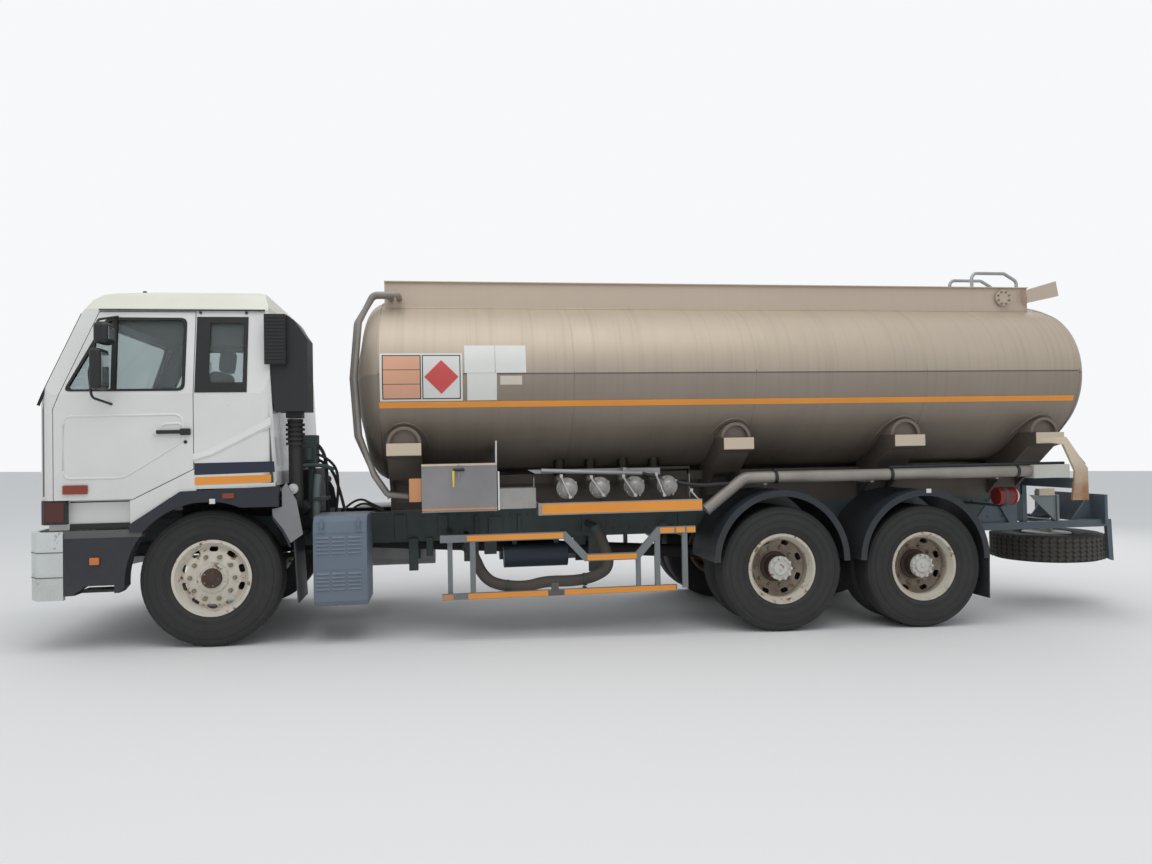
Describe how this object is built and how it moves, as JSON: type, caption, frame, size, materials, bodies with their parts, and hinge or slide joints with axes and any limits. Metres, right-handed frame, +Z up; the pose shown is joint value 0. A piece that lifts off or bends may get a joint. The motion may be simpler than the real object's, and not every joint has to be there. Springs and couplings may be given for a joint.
{
  "type": "tanker truck",
  "caption": "Rigid tanker truck with tilt cab, oval tank with manholes and coaming, bottom outlets, side guards, locker, ladder and tow jaw, on steered front and twin rear wheels.",
  "frame": {"origin": "under the middle of the bounding box, on the road", "axes": "+X from the cab to the rear, +Y the truck's right side, +Z up"},
  "size_m": [9.8584, 3, 3.4231],
  "materials": {
    "cab_paint": "gloss",
    "dark_paint": "gloss",
    "frame_paint": "satin",
    "cast_metal": "rough",
    "rim_paint": "satin",
    "tyre": "matt",
    "tank_metal": "brushed",
    "outlet_metal": "cast",
    "box_paint": "satin",
    "blue_grey_paint": "satin",
    "side_tank_metal": "dull",
    "ladder_metal": "satin",
    "black_plastic": "matt",
    "duct_rubber": "matt",
    "lamp_plastic": "gloss",
    "seat_cloth": "woven",
    "window_glass": "clear"
  },
  "bodies": {
    "chassis": {"chassis_frame": "frame_paint", "engine_block": "cast_metal", "front_axle": "frame_paint", "rear_axles": "frame_paint", "rear_fenders": "dark_paint", "tank_shell": "tank_metal", "tank_bearers": "frame_paint", "tank_coaming": "tank_metal", "manhole_rings": "tank_metal", "tank_pipes": "tank_metal", "outlets": "outlet_metal", "locker": "box_paint", "battery_box": "blue_grey_paint", "side_tanks": "side_tank_metal", "side_guards": "frame_paint", "front_mudguards": "dark_paint", "bumper": "cab_paint", "lamps": "lamp_plastic", "rear_frame": "frame_paint", "spare_wheel": "tyre", "ladder": "ladder_metal", "air_duct": "duct_rubber"},
    "cab": {"cab_front": "cab_paint", "cab_roof": "cab_paint", "cab_shell": "cab_paint", "cab_glass": "window_glass", "wheel_flares": "dark_paint", "cab_lamps": "lamp_plastic", "seats": "seat_cloth", "dashboard": "black_plastic", "air_intake": "black_plastic"},
    "track_rod": {"track_rod": "frame_paint"},
    "locker_door": {"locker_door": "box_paint"},
    "door_left": {"door_left": "cab_paint", "door_glass_left": "window_glass", "mirrors_left": "black_plastic"},
    "knuckle_left": {"knuckle_left": "frame_paint"},
    "wheel_front_left": {"rim_front_left": "rim_paint", "tyre_front_left": "tyre"},
    "wheels_rear_1_left": {"rims_rear_1_left": "rim_paint", "tyres_rear_1_left": "tyre"},
    "wheels_rear_2_left": {"rims_rear_2_left": "rim_paint", "tyres_rear_2_left": "tyre"},
    "door_right": {"door_right": "cab_paint", "door_glass_right": "window_glass", "mirrors_right": "black_plastic"},
    "knuckle_right": {"knuckle_right": "frame_paint"},
    "wheel_front_right": {"rim_front_right": "rim_paint", "tyre_front_right": "tyre"},
    "wheels_rear_1_right": {"rims_rear_1_right": "rim_paint", "tyres_rear_1_right": "tyre"},
    "wheels_rear_2_right": {"rims_rear_2_right": "rim_paint", "tyres_rear_2_right": "tyre"},
    "manhole_lid_1": {"manhole_lid_1": "tank_metal"},
    "manhole_lid_2": {"manhole_lid_2": "tank_metal"},
    "manhole_lid_3": {"manhole_lid_3": "tank_metal"},
    "manhole_lid_4": {"manhole_lid_4": "tank_metal"}
  },
  "joints": [
    {"name": "cab_tilt", "type": "hinge", "parent": "chassis", "child": "cab", "pos_m": [-4.8219, 0, 0.67313], "axis": [0, -1, 0], "range_deg": [0, 45]},
    {"name": "door_hinge_left", "type": "hinge", "parent": "cab", "child": "door_left", "pos_m": [-4.70811, -1.235, 1.8759], "axis": [0.0218, 0, -0.9998], "range_deg": [0, 70]},
    {"name": "steer_left", "type": "hinge", "parent": "chassis", "child": "knuckle_left", "pos_m": [-3.58848, -0.9, 0.53], "axis": [0, 0, 1], "range_deg": [-35, 35]},
    {"name": "roll_front_left", "type": "hinge", "parent": "knuckle_left", "child": "wheel_front_left", "pos_m": [-3.58848, -1.02, 0.53], "axis": [0, 1, 0], "continuous": true},
    {"name": "roll_rear_1_left", "type": "hinge", "parent": "chassis", "child": "wheels_rear_1_left", "pos_m": [1.02952, -1.078, 0.53], "axis": [0, 1, 0], "continuous": true},
    {"name": "roll_rear_2_left", "type": "hinge", "parent": "chassis", "child": "wheels_rear_2_left", "pos_m": [2.32952, -1.078, 0.53], "axis": [0, 1, 0], "continuous": true},
    {"name": "door_hinge_right", "type": "hinge", "parent": "cab", "child": "door_right", "pos_m": [-4.70811, 1.235, 1.8759], "axis": [-0.0218, 0, 0.9998], "range_deg": [0, 70]},
    {"name": "steer_right", "type": "hinge", "parent": "chassis", "child": "knuckle_right", "pos_m": [-3.58848, 0.9, 0.53], "axis": [0, 0, 1], "range_deg": [-35, 35]},
    {"name": "roll_front_right", "type": "hinge", "parent": "knuckle_right", "child": "wheel_front_right", "pos_m": [-3.58848, 1.02, 0.53], "axis": [0, 1, 0], "continuous": true},
    {"name": "roll_rear_1_right", "type": "hinge", "parent": "chassis", "child": "wheels_rear_1_right", "pos_m": [1.02952, 1.078, 0.53], "axis": [0, 1, 0], "continuous": true},
    {"name": "roll_rear_2_right", "type": "hinge", "parent": "chassis", "child": "wheels_rear_2_right", "pos_m": [2.32952, 1.078, 0.53], "axis": [0, 1, 0], "continuous": true},
    {"name": "track_rod_turn", "type": "hinge", "parent": "knuckle_left", "child": "track_rod", "pos_m": [-3.39848, -0.9, 0.45], "axis": [0, 0, 1], "range_deg": [-35, 35]},
    {"name": "locker_hinge", "type": "hinge", "parent": "chassis", "child": "locker_door", "pos_m": [-1.68565, -1.216, 1.03963], "axis": [0.9998, 0, 0.0218], "range_deg": [0, 95]},
    {"name": "lid_hinge_1", "type": "hinge", "parent": "chassis", "child": "manhole_lid_1", "pos_m": [-1.3759, 0, 2.95684], "axis": [0, 1, 0], "range_deg": [0, 100]},
    {"name": "lid_hinge_2", "type": "hinge", "parent": "chassis", "child": "manhole_lid_2", "pos_m": [0.10375, 0, 2.98913], "axis": [0, 1, 0], "range_deg": [0, 100]},
    {"name": "lid_hinge_3", "type": "hinge", "parent": "chassis", "child": "manhole_lid_3", "pos_m": [1.5834, 0, 3.02142], "axis": [0, 1, 0], "range_deg": [0, 100]},
    {"name": "lid_hinge_4", "type": "hinge", "parent": "chassis", "child": "manhole_lid_4", "pos_m": [3.06305, 0, 3.0537], "axis": [0, 1, 0], "range_deg": [0, 100]}
  ],
  "couplings": [
    {"joint": "steer_right", "follows": "steer_left", "ratio": 1},
    {"joint": "track_rod_turn", "follows": "steer_left", "ratio": -1}
  ]
}
